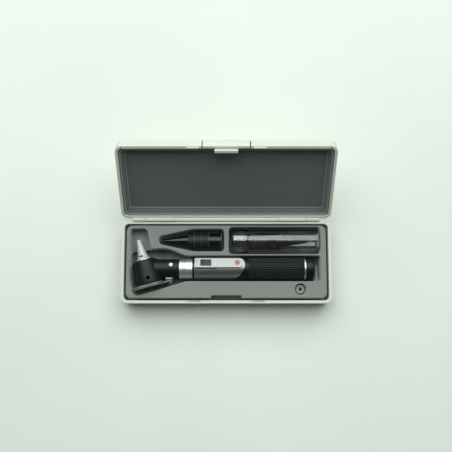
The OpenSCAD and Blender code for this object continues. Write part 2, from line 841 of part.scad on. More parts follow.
module grip_sleeve() {
    color([0.07, 0.07, 0.075]) difference() {
        union() {
            intersection() {
                along_handle(shell_x, flute_x + 1, grip_plain_r);
                slant_block(0);
            }
            translate([flute_x, handle_y, handle_z]) rotate([0, 90, 0]) linear_extrude(grip_x - flute_x)
                difference() {
                    circle(grip_r);
                    for (i = [0:flute_n - 1]) rotate([0, 0, i * 360 / flute_n])
                        translate([grip_r + 0.1, 0]) circle(flute_r, $fn = 16);
                }
        }
        along_handle(shell_x - 1, grip_x + 1, cell_tube_r + cell_tube_t);
    }
}

module end_ring() {
    color([0.80, 0.81, 0.82]) difference() {
        along_handle(ring_x, ring_x + ring_l, ring_r);
        along_handle(ring_x - 1, ring_x + ring_l + 1, cell_tube_r);
    }
}

module end_cap() {
    x = cap_x + 0.3;
    color([0.07, 0.07, 0.075]) {
        translate([x, handle_y, handle_z]) rotate([0, 90, 0]) rotate_extrude() difference() {
            square([cap_r, cap_l]);
            translate([cap_r - 2.5, cap_l - 2.5]) difference() {
                square([3, 3]);
                circle(2.5, $fn = 48);
            }
        }
        along_handle(grip_x + 0.6, x + e, cell_tube_r - cap_run);
    }
}

module switch_housing() {
    color([0.70, 0.71, 0.72]) difference() {
        rolled(clip_roll) translate([clip_x, -clip_w / 2, 8]) cube([housing_x - clip_x, clip_w, clip_z - 8]);
        along_handle(clip_x - 10, housing_x + 10, shell_r);
        rolled(clip_roll) translate([plate_x - button_travel - 0.5, -4.2, shell_r + 0.3])
            cube([plate_l + button_travel + 1, 8.4, 5]);
    }
}

module pocket_clip() {
    color([0.86, 0.87, 0.88]) rolled(clip_roll) translate([0, 0, clip_z]) linear_extrude(clip_t)
        difference() {
            union() {
                translate([clip_x, -clip_w / 2]) square([clip_end - clip_w / 2 - clip_x, clip_w]);
                translate([clip_end - clip_w / 2, 0]) circle(clip_w / 2);
            }
            translate([slot_x, -slot_w / 2]) square([slot_l, slot_w]);
        }
}

module clip_mark() {
    color([0.80, 0.30, 0.20]) rolled(clip_roll) translate([10.8, 0, clip_z + clip_t])
        cylinder(h = 0.3, r = mark_r, $fn = 32);
}

module slide_switch() {
    x = button_x;
    top = clip_z + clip_t + button_up;
    color([0.08, 0.08, 0.09]) rolled(clip_roll) difference() {
        union() {
            translate([x, -slot_w / 2 + button_clear, shell_r + 0.6])
                cube([button_l, slot_w - 2 * button_clear, top - shell_r - 0.6]);
            translate([plate_x, -3.8, shell_r + 0.6]) cube([plate_l, 7.6, 0.5]);
        }
        for (i = [0:4]) translate([x + 0.9 + i * 1.1, -5, top - 0.35]) cube([0.45, 10, 1]);
    }
}

// Specula

module speculum(x, skirt, y, z, k, mid) {
    s1 = spec_cone_l;
    s2 = spec_cone_l + skirt - 1;
    s3 = spec_cone_l + skirt;
    translate([x, y, z]) rotate([0, 90, 0]) rotate_extrude($fn = 40) polygon([
        [spec_tip_r - 0.5, 0], [spec_tip_r, 0], [spec_cone_r, s1 * mid], [spec_cone_r, s1],
        [spec_skirt_r * k, s1], [spec_skirt_r * k, s2], [spec_rim_r * k, s2], [spec_rim_r * k, s3],
        [spec_skirt_r * k - spec_t - 0.2, s3], [spec_skirt_r * k - spec_t - 0.2, s1 + spec_t],
        [spec_cone_r - spec_t, s1 + spec_t], [spec_cone_r - spec_t, s1 * mid]]);
}

module reusable(i, skirt) {
    color([0.06, 0.06, 0.065]) speculum(specula_x + i * specula_pitch, skirt, specula_y, specula_z, 1, 0.92);
}

module speculum_1() { reusable(0, specula_pitch); }
module speculum_2() { reusable(1, specula_pitch); }
module speculum_3() { reusable(2, specula_pitch); }
module speculum_4() { reusable(3, spec_long); }

module disposable_specula() {
    start = tube_x + tube_cap_t;
    color([0.10, 0.11, 0.11]) for (i = [0:disposable_n - 1])
        translate([start + i * disposable_pitch, tube_y, tube_z]) rotate([0, 90, 0])
            rotate_extrude($fn = 32) polygon([
                [spec_rim_r - 0.5, 0], [spec_rim_r, 0], [spec_rim_r, 3.4], [spec_rim_r - 0.3, 3.4],
                [spec_rim_r - 0.3, disposable_pitch], [6.2, disposable_pitch],
                [spec_tip_r, 33], [spec_tip_r - 0.4, 33], [5.8, 4.3], [spec_rim_r - 0.5, 3]]);
}

// Tube

module tube_body() {
    x1 = tube_x + tube_cap_t + 0.6;
    x2 = tube_x + tube_cap_l + 0.3;
    color([0.82, 0.86, 0.86, 0.5]) translate([0, tube_y, tube_z]) rotate([0, 90, 0])
        rotate_extrude() polygon([
        [tube_r - 0.9 - tube_t, x1], [tube_r - 0.9, x1], [tube_r - 0.9, x2], [tube_r, x2],
        [tube_r, tube_end - 1.5], [tube_r - 1.5, tube_end], [0, tube_end],
        [0, tube_end - tube_t], [tube_r - tube_t - 1, tube_end - tube_t],
        [tube_r - tube_t, tube_end - tube_t - 1], [tube_r - tube_t, x2 + 2], [tube_r - 0.9 - tube_t, x2]]);
}

module tube_cap() {
    c = tube_x;
    color([0.82, 0.86, 0.86, 0.5]) translate([0, tube_y, tube_z]) rotate([0, 90, 0])
        rotate_extrude() polygon([
        [0, c], [tube_cap_r - 0.8, c], [tube_cap_r, c + 0.8], [tube_cap_r, c + tube_cap_l],
        [tube_r - 0.9 + tube_run, c + tube_cap_l], [tube_r - 0.9 + tube_run, c + tube_cap_t],
        [0, c + tube_cap_t]]);
}

// Spare lamp

module spare_lamp_base() {
    color([0.66, 0.67, 0.67]) translate([lamp_x, lamp_y, lamp_top]) difference() {
        union() {
            translate([0, 0, -1.2]) cylinder(h = 1.2, r = lamp_r);
            translate([0, 0, -6]) cylinder(h = 5, r = lamp_r - 1);
        }
        translate([0, 0, -2]) cylinder(h = 3, r = 1.6, $fn = 32);
        translate([0, 0, -7]) cylinder(h = 3, r = 2.4, $fn = 32);
    }
}

module spare_lamp_contact() {
    color([0.08, 0.08, 0.08]) translate([lamp_x, lamp_y, lamp_top - 2]) cylinder(h = 1.7, r = 1.6, $fn = 32);
}

module spare_lamp_bulb() {
    color([0.85, 0.88, 0.88]) translate([lamp_x, lamp_y, lamp_top]) {
        translate([0, 0, -8.2]) cylinder(h = 4.2, r = 2.4, $fn = 32);
        translate([0, 0, -8.2]) sphere(r = 2.4, $fn = 32);
    }
}

base_shell();
tray_insert();
hinge_pins();
lid_shell();
lid_liner();
latch_tongue();
head_housing();
specula_flange();
metal_cone();
neck_plug();
light_guide();
bulb_glass();
bulb_base();
pivot_bracket();
pivot_screw();
window_frame();
window_lens();
head_collar();
joint_ring();
contact_bush();
contact_pin();
upper_shell();
battery_tube();
battery_front();
battery_rear();
contact_spring();
grip_sleeve();
end_ring();
end_cap();
switch_housing();
pocket_clip();
clip_mark();
slide_switch();
speculum_1();
speculum_2();
speculum_3();
speculum_4();
tube_body();
tube_cap();
disposable_specula();
spare_lamp_base();
spare_lamp_contact();
spare_lamp_bulb();
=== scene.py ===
import math

import bpy
from mathutils import Matrix, Vector


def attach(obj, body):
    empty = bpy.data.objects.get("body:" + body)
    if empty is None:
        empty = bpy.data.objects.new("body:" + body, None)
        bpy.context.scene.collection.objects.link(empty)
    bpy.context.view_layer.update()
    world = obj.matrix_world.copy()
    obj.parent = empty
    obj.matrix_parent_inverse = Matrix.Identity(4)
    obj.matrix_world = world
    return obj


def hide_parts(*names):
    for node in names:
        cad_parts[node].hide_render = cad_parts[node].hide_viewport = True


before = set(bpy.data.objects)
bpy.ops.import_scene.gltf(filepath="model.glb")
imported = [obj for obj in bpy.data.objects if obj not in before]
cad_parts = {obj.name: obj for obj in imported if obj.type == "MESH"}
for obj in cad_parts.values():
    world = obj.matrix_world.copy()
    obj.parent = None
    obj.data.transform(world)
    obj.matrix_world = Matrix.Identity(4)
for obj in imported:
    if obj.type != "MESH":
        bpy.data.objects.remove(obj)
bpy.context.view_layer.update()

# Camera
# It stands over the case, a little in front of it, and looks down at 82 degrees.
# The lid is open and leans away at the top of the picture.
bpy.ops.object.camera_add(location=(-0.0003, -0.0562, 0.6683), rotation=(math.radians(8.14), 0, 0))
camera = bpy.context.object
camera.name = "camera"
camera.data.lens = 51.95
camera.data.sensor_width = 36
bpy.context.scene.camera = camera

# Case base
# The lower half of the hard case is one moulding of off-white plastic, with hinge knuckles behind
# and a catch in front. Its mould leaves every edge slightly round and a faint grain on the faces.


def rounded_copy(node, name, width, angle=35):
    """Copies a solid, merges its triangles and rounds its sharp edges by this width.

    An edge is sharp from this angle up. The copy is then shown in place of the solid."""
    piece = bpy.data.objects.new(name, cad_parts[node].data.copy())
    bpy.context.collection.objects.link(piece)
    bpy.ops.object.select_all(action="DESELECT")
    piece.select_set(True)
    bpy.context.view_layer.objects.active = piece
    bpy.ops.mesh.customdata_custom_splitnormals_clear()
    bpy.ops.object.mode_set(mode="EDIT")
    bpy.ops.mesh.select_all(action="SELECT")
    bpy.ops.mesh.remove_doubles(threshold=0.000002)
    bpy.ops.mesh.dissolve_limited(angle_limit=math.radians(0.4))
    bpy.ops.mesh.vert_connect_concave()
    bpy.ops.object.mode_set(mode="OBJECT")
    if width > 0:
        bevel = piece.modifiers.new("Round edges", "BEVEL")
        bevel.width = width
        bevel.segments = 3
        bevel.limit_method = "ANGLE"
        bevel.angle_limit = math.radians(angle)
        bevel.use_clamp_overlap = False
        bpy.ops.object.modifier_apply(modifier=bevel.name)
    bpy.ops.object.shade_smooth_by_angle(angle=math.radians(angle))
    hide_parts(node)
    return piece


def feed(material, node, inputs):
    """Feeds inputs of a node: each gets a value, or the output of another node."""
    for name, source in inputs.items():
        if isinstance(source, bpy.types.NodeSocket):
            material.node_tree.links.new(source, node.inputs[name])
        else:
            node.inputs[name].default_value = source


def shade(material, inputs):
    """Feeds inputs of the shader of a material."""
    feed(material, material.node_tree.nodes["Principled BSDF"], inputs)


def add_node(material, kind, output, inputs, operation=None):
    """Adds a node to a material, feeds it and returns this output of it."""
    node = material.node_tree.nodes.new(kind)
    if operation:
        node.operation = operation
    feed(material, node, inputs)
    return node.outputs[output]


def new_material(name, colour, roughness, metallic=0.0):
    """Starts a material with this colour, roughness and share of metal."""
    material = bpy.data.materials.new(name)
    material.use_nodes = True
    material.diffuse_color = (*colour, 1)
    shade(material, {"Base Color": (*colour, 1), "Roughness": roughness, "Metallic": metallic})
    return material


def noise(material, size, detail, stretch=(1, 1, 1)):
    """Adds a noise that lies fixed in the piece. Its patches have this size in metres."""
    place = add_node(material, "ShaderNodeTexCoord", "Object", {})
    spot = add_node(material, "ShaderNodeMapping", "Vector", {"Vector": place, "Scale": stretch})
    inputs = {"Vector": spot, "Scale": 1 / size, "Detail": detail}
    return add_node(material, "ShaderNodeTexNoise", "Fac", inputs)


def spread(material, value, low, high, start=0.0, end=1.0):
    """Turns a value that runs from low to high into one that runs from start to end."""
    inputs = {"Value": value, "From Min": low, "From Max": high, "To Min": start, "To Max": end}
    return add_node(material, "ShaderNodeMapRange", "Result", inputs)


def grain(material, size, depth, detail=3.0, stretch=(1, 1, 1)):
    """Adds a fine uneven surface: size is the grain in metres, depth its height in metres."""
    inputs = {"Height": noise(material, size, detail, stretch), "Distance": depth, "Strength": 1}
    shade(material, {"Normal": add_node(material, "ShaderNodeBump", "Normal", inputs)})


def mottle(material, dark, light, size, low=0.35, high=0.65):
    """Lets the colour drift between two tones in soft patches of this size in metres."""
    tones = material.node_tree.nodes.new("ShaderNodeValToRGB")
    for number, position, tone in ((0, low, dark), (1, high, light)):
        tones.color_ramp.elements[number].position = position
        tones.color_ramp.elements[number].color = (*tone, 1)
    feed(material, tones, {"Fac": noise(material, size, 4)})
    shade(material, {"Base Color": tones.outputs["Color"]})
    return tones.outputs["Color"]


def uneven_gloss(material, low, high, size):
    """Lets the roughness drift between two values, as handling leaves it.

    Most of a noise lies between 0.3 and 0.7, so this part of it is used."""
    shade(material, {"Roughness": spread(material, noise(material, size, 5), 0.3, 0.7, low, high)})


def hand_over(piece, body, material):
    """Gives a finished piece its material and its body."""
    piece.data.materials.clear()
    piece.data.materials.append(material)
    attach(piece, body)


case_plastic = new_material("case_plastic", (0.63, 0.655, 0.59), 0.4)
mottle(case_plastic, (0.61, 0.635, 0.57), (0.65, 0.675, 0.61), 0.06)
uneven_gloss(case_plastic, 0.36, 0.46, 0.012)
grain(case_plastic, 0.0007, 0.000006)

CASE_EDGE = 0.00026
case_base = rounded_copy("base_shell", "case_base", CASE_EDGE)
hand_over(case_base, "base", case_plastic)

# Hinge pins
# Two drawn steel pins are pressed into the end knuckles of the base. The knuckles of the lid
# turn on them, and only their end faces show.


def brushed(material, size, depth, stretch):
    """Adds the fine parallel scratches that turning or drawing leaves on metal."""
    grain(material, size, depth, detail=2.0, stretch=stretch)


pin_steel = new_material("pin_steel", (0.58, 0.59, 0.60), 0.32, 1.0)
brushed(pin_steel, 0.0004, 0.000004, (0.05, 1, 1))
uneven_gloss(pin_steel, 0.26, 0.40, 0.003)
pins = rounded_copy("hinge_pins", "hinge_pin_pair", 0.00015)
hand_over(pins, "base", pin_steel)

# Lid and latch tongue
# The lid is the same plastic. Two slits in its front wall leave a tongue that bends outwards,
# and a hook behind the tongue snaps under the catch of the base.
case_lid = rounded_copy("lid_shell", "case_lid", CASE_EDGE)
hand_over(case_lid, "lid", case_plastic)

tongue = rounded_copy("latch_tongue", "case_tongue", CASE_EDGE)
hand_over(tongue, "latch", case_plastic)

# Formed tray
# One sheet of grey plastic is drawn over a mould with a pocket for each thing, so every edge is
# softly round. Short grey fibres are blown on it and give the dull, even, velvety face.
TRAY_TOP = 0.0235
TRAY_LOW = 0.0022
TRAY_OPEN_BELOW = TRAY_LOW + 0.0012
ABOVE_TRAY = 0.03
SAME_LEVEL = 0.000001


def outline(name, corners, low, high, turn, foot=0.0):
    """Moves the corners of a flat shape to these places in millimetres, and raises the shape.

    turn is the radius of the upright corners and foot the radius round the lower edge."""
    bpy.ops.object.select_all(action="DESELECT")
    bpy.ops.mesh.primitive_circle_add(vertices=len(corners), radius=0.01, fill_type="NGON")
    shape = bpy.context.object
    shape.name = name
    for vertex, (x, y) in zip(shape.data.vertices, corners):
        vertex.co = (x / 1000, y / 1000, low)
    bpy.ops.object.mode_set(mode="EDIT")
    bpy.ops.mesh.select_all(action="SELECT")
    bpy.ops.mesh.bevel(offset=turn, segments=8, affect="VERTICES", clamp_overlap=True)
    bpy.ops.mesh.extrude_region_move(TRANSFORM_OT_translate={"value": (0, 0, high - low)})
    bpy.ops.mesh.select_all(action="SELECT")
    bpy.ops.mesh.normals_make_consistent(inside=False)
    bpy.ops.mesh.select_all(action="DESELECT")
    bpy.ops.object.mode_set(mode="OBJECT")
    if foot > 0:
        for edge in shape.data.edges:
            ends = [shape.data.vertices[k].co for k in edge.vertices]
            edge.select = all(abs(end.z - low) < SAME_LEVEL for end in ends)
        bpy.ops.object.mode_set(mode="EDIT")
        bpy.ops.mesh.select_mode(type="EDGE")
        bpy.ops.mesh.bevel(offset=foot, segments=4, affect="EDGES", clamp_overlap=True)
        bpy.ops.object.mode_set(mode="OBJECT")
    return shape


def apply_step(piece, kind, **settings):
    """Adds a modifier with these settings to a piece and applies it."""
    step = piece.modifiers.new(kind.title(), kind)
    for key, value in settings.items():
        setattr(step, key, value)
    bpy.context.view_layer.objects.active = piece
    bpy.ops.object.modifier_apply(modifier=step.name)


def combine(piece, other, operation):
    """Joins another shape to a piece, or cuts it out of the piece."""
    apply_step(piece, "BOOLEAN", object=other, operation=operation, solver="EXACT")
    bpy.data.objects.remove(other)


sheet_corners = [(-99.2, -35.6), (99.2, -35.6), (99.2, 36.6), (-99.2, 36.6)]
tray = outline("tray_sheet", sheet_corners, TRAY_LOW, TRAY_TOP, 0.0055)

# Each pocket has the height of its floor, the radius of its upright corners and the radius round
# its floor, in metres, and its corners seen from above, in millimetres.
pockets = [
    ("head_pocket", 0.0034, 0.004, 0.0025, [
        (-60.5, 13.6), (-73.7, 13), (-95.4, 11), (-96.2, -13),
        (-94.4, -27), (-90.4, -33.9), (-60.5, -25.2)]),
    ("neck_pocket", 0.0066, 0.006, 0.0025, [
        (-76, 12.8), (-60.1, 13.6), (-50, 10.4), (-40.8, 6.3),
        (-30, 6.3), (-30, -18.9), (-38.3, -18.6), (-76, -30)]),
    ("tip_pocket", 0.012, 0.003, 0.0012, [
        (-95.4, 33.3), (-79.4, 33.3), (-73.7, 8), (-95.4, 8)]),
    ("handle_pocket", 0.0066, 0.002, 0.0025, [
        (-48, 6.3), (93.2, 6.3), (93.2, -19), (-48, -19)]),
    ("specula_pocket", 0.0062, 0.0034, 0.0025, [
        (-67.5, 25.6), (-32.7, 33.1), (-2.2, 33.1), (-2.2, 10.6), (-32.7, 10.6), (-67.5, 18.2)]),
    ("tube_pocket", 0.0036, 0.0035, 0.0025, [
        (2.5, 35.1), (93.3, 35.1), (93.3, 7.9), (2.5, 7.9)]),
    ("latch_notch", 0.0122, 0.0005, 0.0, [
        (-15, -33), (15, -33), (15, -41), (-15, -41)]),
]
for name, floor, turn, foot, corners in pockets:
    combine(tray, outline(name, corners, floor, ABOVE_TRAY, turn, foot), "DIFFERENCE")

# The spare lamp has a round pocket, and the handle pocket ends in a small step.
lamp_spot = (0.0733, -0.0268, 0.020)
bpy.ops.object.select_all(action="DESELECT")
bpy.ops.mesh.primitive_cylinder_add(vertices=64, radius=0.0055, depth=0.024, location=lamp_spot)
combine(tray, bpy.context.object, "DIFFERENCE")
step_corners = [(87.5, -19.6), (92.2, -19.6), (90.4, -2.6), (89.3, -2.6)]
combine(tray, outline("end_step", step_corners, 0.006, 0.018, 0.0004), "UNION")

# A drawn sheet has no sharp edge: its skin is made even, relaxed, cut open below and given a wall.
apply_step(tray, "REMESH", mode="VOXEL", voxel_size=0.0004)
apply_step(tray, "SMOOTH", factor=0.5, iterations=16)
bpy.ops.object.mode_set(mode="EDIT")
bpy.ops.mesh.select_all(action="SELECT")
bpy.ops.mesh.bisect(plane_co=(0, 0, TRAY_OPEN_BELOW), plane_no=(0, 0, 1), clear_inner=True)
bpy.ops.object.mode_set(mode="OBJECT")
apply_step(tray, "DECIMATE", decimate_type="COLLAPSE", ratio=0.14)
apply_step(tray, "SOLIDIFY", thickness=0.0009, offset=-1)
bpy.ops.object.shade_smooth()
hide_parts("tray_insert")

flock = new_material("flock_grey", (0.230, 0.250, 0.238), 0.95)
mottle(flock, (0.215, 0.235, 0.223), (0.245, 0.266, 0.254), 0.0009, 0.38, 0.62)
grain(flock, 0.00035, 0.00012, detail=2.0)
shade(flock, {"Sheen Weight": 0.6, "Sheen Roughness": 0.45, "Specular IOR Level": 0.2})
hand_over(tray, "base", flock)

# Lid liner
# The lid has its own drawn and flocked sheet: a narrow border, a sloping step all round, and a
# flat panel behind a second small step. It is made as in the shut lid, then turned open.
LID_OPEN = math.radians(-136.3)
HINGE = Vector((0, 0.04208, 0.025))
BORDER_LEVEL = 0.0264
BORDER_SIZE = (0.2016, 0.075, 1)
PANEL_AREA = 0.01
GAP_SIDE = 0.026
GAP_BACK = -0.0352


def draw_up(border, rise, foot, top):
    """Leaves a border round the chosen face and draws the rest of it up.

    foot and top are half the length and half the width of the step below and above."""
    bpy.ops.mesh.inset(thickness=border)
    bpy.ops.mesh.extrude_region_move(TRANSFORM_OT_translate={"value": (0, 0, rise)})
    slope = (top[0] / foot[0], top[1] / foot[1], 1)
    bpy.ops.transform.resize(value=slope, center_override=(0, 0, 0))


bpy.ops.object.select_all(action="DESELECT")
bpy.ops.mesh.primitive_plane_add(size=1, location=(0, 0, BORDER_LEVEL))
liner = bpy.context.object
liner.name = "liner_sheet"
liner.scale = BORDER_SIZE
bpy.ops.object.transform_apply(location=True, rotation=True, scale=True)
bpy.ops.object.mode_set(mode="EDIT")
bpy.ops.mesh.select_all(action="SELECT")
bpy.ops.mesh.bevel(offset=0.006, segments=10, affect="VERTICES")
draw_up(0.001, 0.0064, (0.0998, 0.0365), (0.0973, 0.034))

# The folds are rounded. The outer rim, whose edges belong to one face only, stays as it is.
bpy.ops.mesh.select_all(action="DESELECT")
bpy.ops.object.mode_set(mode="OBJECT")
face_edges = [key for face in liner.data.polygons for key in face.edge_keys]
rim_corners = {corner for key in face_edges if face_edges.count(key) == 1 for corner in key}
for edge in liner.data.edges:
    ends = [liner.data.vertices[k].co for k in edge.vertices]
    level = abs(ends[0].z - ends[1].z) < SAME_LEVEL
    edge.select = level and not rim_corners.intersection(edge.vertices)
bpy.ops.object.mode_set(mode="EDIT")
bpy.ops.mesh.select_mode(type="EDGE")
bpy.ops.mesh.bevel(offset=0.0007, segments=5, affect="EDGES")

# The second step is drawn up round the panel, the only face larger than PANEL_AREA.
bpy.ops.mesh.select_mode(type="FACE")
bpy.ops.mesh.select_all(action="DESELECT")
bpy.ops.object.mode_set(mode="OBJECT")
for face in liner.data.polygons:
    face.select = face.area > PANEL_AREA
bpy.ops.object.mode_set(mode="EDIT")
draw_up(0.0008, 0.0009, (0.0958, 0.0325), (0.095, 0.0317))

# The front edge has a gap, in which the hook of the tongue moves. It is scored, then taken out.
scores = [
    ((-GAP_SIDE, 0, 0), (1, 0, 0)),
    ((GAP_SIDE, 0, 0), (1, 0, 0)),
    ((0, GAP_BACK, 0), (0, 1, 0)),
]
for spot, square_to in scores:
    bpy.ops.mesh.select_all(action="SELECT")
    bpy.ops.mesh.bisect(plane_co=spot, plane_no=square_to)
bpy.ops.mesh.select_all(action="DESELECT")
bpy.ops.object.mode_set(mode="OBJECT")
for face in liner.data.polygons:
    face.select = abs(face.center.x) < GAP_SIDE and face.center.y < GAP_BACK
bpy.ops.object.mode_set(mode="EDIT")
bpy.ops.mesh.delete(type="FACE")
bpy.ops.object.mode_set(mode="OBJECT")
apply_step(liner, "SOLIDIFY", thickness=0.0011, offset=1)
bpy.ops.object.mode_set(mode="EDIT")
bpy.ops.mesh.select_all(action="SELECT")
bpy.ops.mesh.normals_make_consistent(inside=False)
bpy.ops.object.mode_set(mode="OBJECT")
turn_open = Matrix.Rotation(LID_OPEN, 4, "X")
liner.data.transform(Matrix.Translation(HINGE) @ turn_open @ Matrix.Translation(-HINGE))
bpy.ops.object.select_all(action="DESELECT")
liner.select_set(True)
bpy.context.view_layer.objects.active = liner
bpy.ops.object.shade_smooth_by_angle(angle=math.radians(25))
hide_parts("lid_liner")


def vector_step(material, operation, *sources):
    """Adds one step of reckoning with vectors. A length is a number, all else a vector."""
    output = "Value" if operation == "LENGTH" else "Vector"
    return add_node(material, "ShaderNodeVectorMath", output, dict(enumerate(sources)), operation)


liner_flock = new_material("liner_flock", (0.100, 0.115, 0.114), 0.95)
liner_tone = mottle(liner_flock, (0.092, 0.106, 0.105), (0.108, 0.124, 0.123), 0.0009, 0.38, 0.62)
grain(liner_flock, 0.00035, 0.0001, detail=2.0)
shade(liner_flock, {"Sheen Weight": 0.35, "Sheen Roughness": 0.6, "Specular IOR Level": 0.2})

# The two folds of the step are painted pale as highlights. How far a point of the sheet lies
# outside the panel is measured as in the shut lid, up to FOLD_REACH, and each fold is a share of
# it. PANEL_HALF is half the panel, and its height of 1 m leaves the height of a point out.
FOLD_REACH = 0.007
PANEL_HALF = (0.0948, 0.0315, 1)
place = add_node(liner_flock, "ShaderNodeTexCoord", "Object", {})
turn_shut = {
    "Vector": place,
    "Rotation": (-LID_OPEN, 0, 0),
    "Location": HINGE - Matrix.Rotation(-LID_OPEN, 3, "X") @ HINGE,
}
shut = add_node(liner_flock, "ShaderNodeMapping", "Vector", turn_shut)
from_middle = vector_step(liner_flock, "ABSOLUTE", shut)
past_panel = vector_step(liner_flock, "SUBTRACT", from_middle, PANEL_HALF)
outside = vector_step(liner_flock, "MAXIMUM", past_panel, (0, 0, 0))
distance = vector_step(liner_flock, "LENGTH", outside)
folds = liner_flock.node_tree.nodes.new("ShaderNodeValToRGB")
for share, lit in ((0.09, 0), (0.171, 1), (0.26, 0), (0.63, 0), (0.714, 1), (0.80, 0)):
    folds.color_ramp.elements.new(share).color = (lit, lit, lit, 1)
folds.color_ramp.elements.remove(folds.color_ramp.elements[-1])
feed(liner_flock, folds, {"Fac": spread(liner_flock, distance, 0, FOLD_REACH)})
# Painted highlight: the pale colour is mixed into the sheet along the folds.
painted_fold_highlight = {
    "Fac": folds.outputs["Color"],
    "Color1": liner_tone,
    "Color2": (0.30, 0.33, 0.325, 1),
}
shade(liner_flock, {"Base Color": add_node(liner_flock, "ShaderNodeMixRGB", "Color", painted_fold_highlight)})
hand_over(liner, "lid", liner_flock)

# Otoscope head
# The head is one hollow black moulding: a barrel for the lens side, a nose for the speculum and a
# neck for the handle, which run into each other with a small fillet.
head = rounded_copy("head_housing", "head_shell", 0)
apply_step(head, "REMESH", mode="VOXEL", voxel_size=0.0003)
apply_step(head, "SMOOTH", factor=0.5, iterations=4)
apply_step(head, "DECIMATE", decimate_type="COLLAPSE", ratio=0.4)
bpy.ops.object.shade_smooth()
black = new_material("head_black", (0.006, 0.0068, 0.0066), 0.42)
mottle(black, (0.005, 0.0058, 0.0056), (0.007, 0.0078, 0.0076), 0.008)
uneven_gloss(black, 0.38, 0.48, 0.006)
grain(black, 0.0005, 0.00001)
shade(black, {"Specular IOR Level": 0.3, "Specular Tint": (0.80, 1, 0.92, 1)})
hand_over(head, "otoscope", black)

# White plug
# A small white plug closes a hole in the side of the neck. It is pressed in and stands a hair
# proud, with a round edge.
plug = rounded_copy("neck_plug", "white_plug", 0.0004)
white = new_material("plug_white", (0.80, 0.81, 0.78), 0.35)
mottle(white, (0.77, 0.78, 0.75), (0.82, 0.83, 0.80), 0.002)
grain(white, 0.0004, 0.00001)
hand_over(plug, "otoscope", white)

# Nose ring and cone
# Both are turned from brass and plated bright. The ring closes the nose of the head, and the cone
# carries the ear speculum; the slot in its foot keeps the speculum from turning.
plated = new_material("plated_bright", (0.60, 0.64, 0.61), 0.3, 1.0)
brushed(plated, 0.0006, 0.0000015, (1, 1, 1))
uneven_gloss(plated, 0.28, 0.36, 0.004)
nose_ring = rounded_copy("specula_flange", "nose_ring", 0.00025)
hand_over(nose_ring, "otoscope", plated)
plated_satin = new_material("plated_satin", (0.52, 0.55, 0.525), 0.5, 0.2)
mottle(plated_satin, (0.50, 0.53, 0.505), (0.54, 0.57, 0.545), 0.003)
brushed(plated_satin, 0.0006, 0.0000015, (1, 1, 1))
uneven_gloss(plated_satin, 0.46, 0.54, 0.004)
cone = rounded_copy("metal_cone", "nose_cone", 0.00015, angle=25)
hand_over(cone, "otoscope", plated_satin)

# Light inside the head
# A small lamp sits in a brass base in the neck, and a clear solid light guide leads its light to
# the nose. Nobody sees them, so the solids of the model stay, with materials of their own.


def dress(node, material):
    """Gives a solid of the model its material."""
    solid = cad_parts[node]
    solid.data.materials.clear()
    solid.data.materials.append(material)


def clear_material(name, colour, roughness, bend):
    """A clear material: colour is its tint and bend its refractive index."""
    material = new_material(name, colour, roughness)
    shade(material, {"Transmission Weight": 1, "IOR": bend})
    return material


lamp_glass = clear_material("lamp_glass", (0.96, 0.98, 0.97), 0.02, 1.47)
grain(lamp_glass, 0.002, 0.00001)
lamp_brass = new_material("lamp_brass", (0.70, 0.52, 0.24), 0.3, 1.0)
mottle(lamp_brass, (0.62, 0.45, 0.20), (0.74, 0.56, 0.27), 0.002)
uneven_gloss(lamp_brass, 0.25, 0.42, 0.001)
dress("light_guide", lamp_glass)
dress("bulb_glass", lamp_glass)
dress("bulb_base", lamp_brass)

# Swinging window
# A thick lens in a smoke-grey frame turns aside on a screw, which a bright bracket on the head
# holds. The frame is moulded, ground flat and a little scratched.
smoke = new_material("smoke_grey", (0.11, 0.12, 0.118), 0.3)
mottle(smoke, (0.085, 0.094, 0.092), (0.14, 0.152, 0.149), 0.0018, 0.4, 0.6)
uneven_gloss(smoke, 0.24, 0.40, 0.001)
grain(smoke, 0.0006, 0.00001)
window = rounded_copy("window_frame", "window_rim", 0.0005)
hand_over(window, "window", smoke)
window_glass = clear_material("window_glass", (0.42, 0.46, 0.44), 0.06, 1.5)
shade(window_glass, {"Transmission Weight": 0.6})
grain(window_glass, 0.004, 0.00001)
lens = rounded_copy("window_lens", "window_pane", 0.0003)
hand_over(lens, "window", window_glass)

bracket_steel = new_material("bracket_steel", (0.23, 0.245, 0.24), 0.4, 0.9)
brushed(bracket_steel, 0.0005, 0.000003, (1, 0.05, 1))
uneven_gloss(bracket_steel, 0.34, 0.46, 0.002)
bracket = rounded_copy("pivot_bracket", "window_bracket", 0.0004)
hand_over(bracket, "otoscope", bracket_steel)
screw = rounded_copy("pivot_screw", "window_screw", 0.0003)
hand_over(screw, "otoscope", bracket_steel)

# Collar and contact
# The collar is turned from aluminium, with two fine grooves, and joins the head to the handle.
# A dark ring insulates it, and a brass pin in a white bush carries the current.
turned = new_material("turned_aluminium", (0.76, 0.79, 0.77), 0.36, 1.0)
brushed(turned, 0.0004, 0.000002, (1, 0.004, 0.004))
uneven_gloss(turned, 0.34, 0.38, 0.006)
collar = rounded_copy("head_collar", "collar", 0.0002)
hand_over(collar, "otoscope", turned)
joint = rounded_copy("joint_ring", "dark_ring", 0.0003)
hand_over(joint, "otoscope", black)
dress("contact_bush", white)
dress("contact_pin", lamp_brass)

# Battery tube and cells
# A drawn aluminium tube is the backbone of the handle. It holds two cells, pushed forward by a
# flat spring washer, and the shell, the grip and the end ring are slid over it.
cell_sleeve = new_material("cell_sleeve", (0.05, 0.09, 0.08), 0.35)
mottle(cell_sleeve, (0.04, 0.075, 0.066), (0.06, 0.105, 0.094), 0.006)
uneven_gloss(cell_sleeve, 0.28, 0.42, 0.004)
dress("battery_tube", turned)
dress("battery_front", cell_sleeve)
dress("battery_rear", cell_sleeve)
dress("contact_spring", bracket_steel)

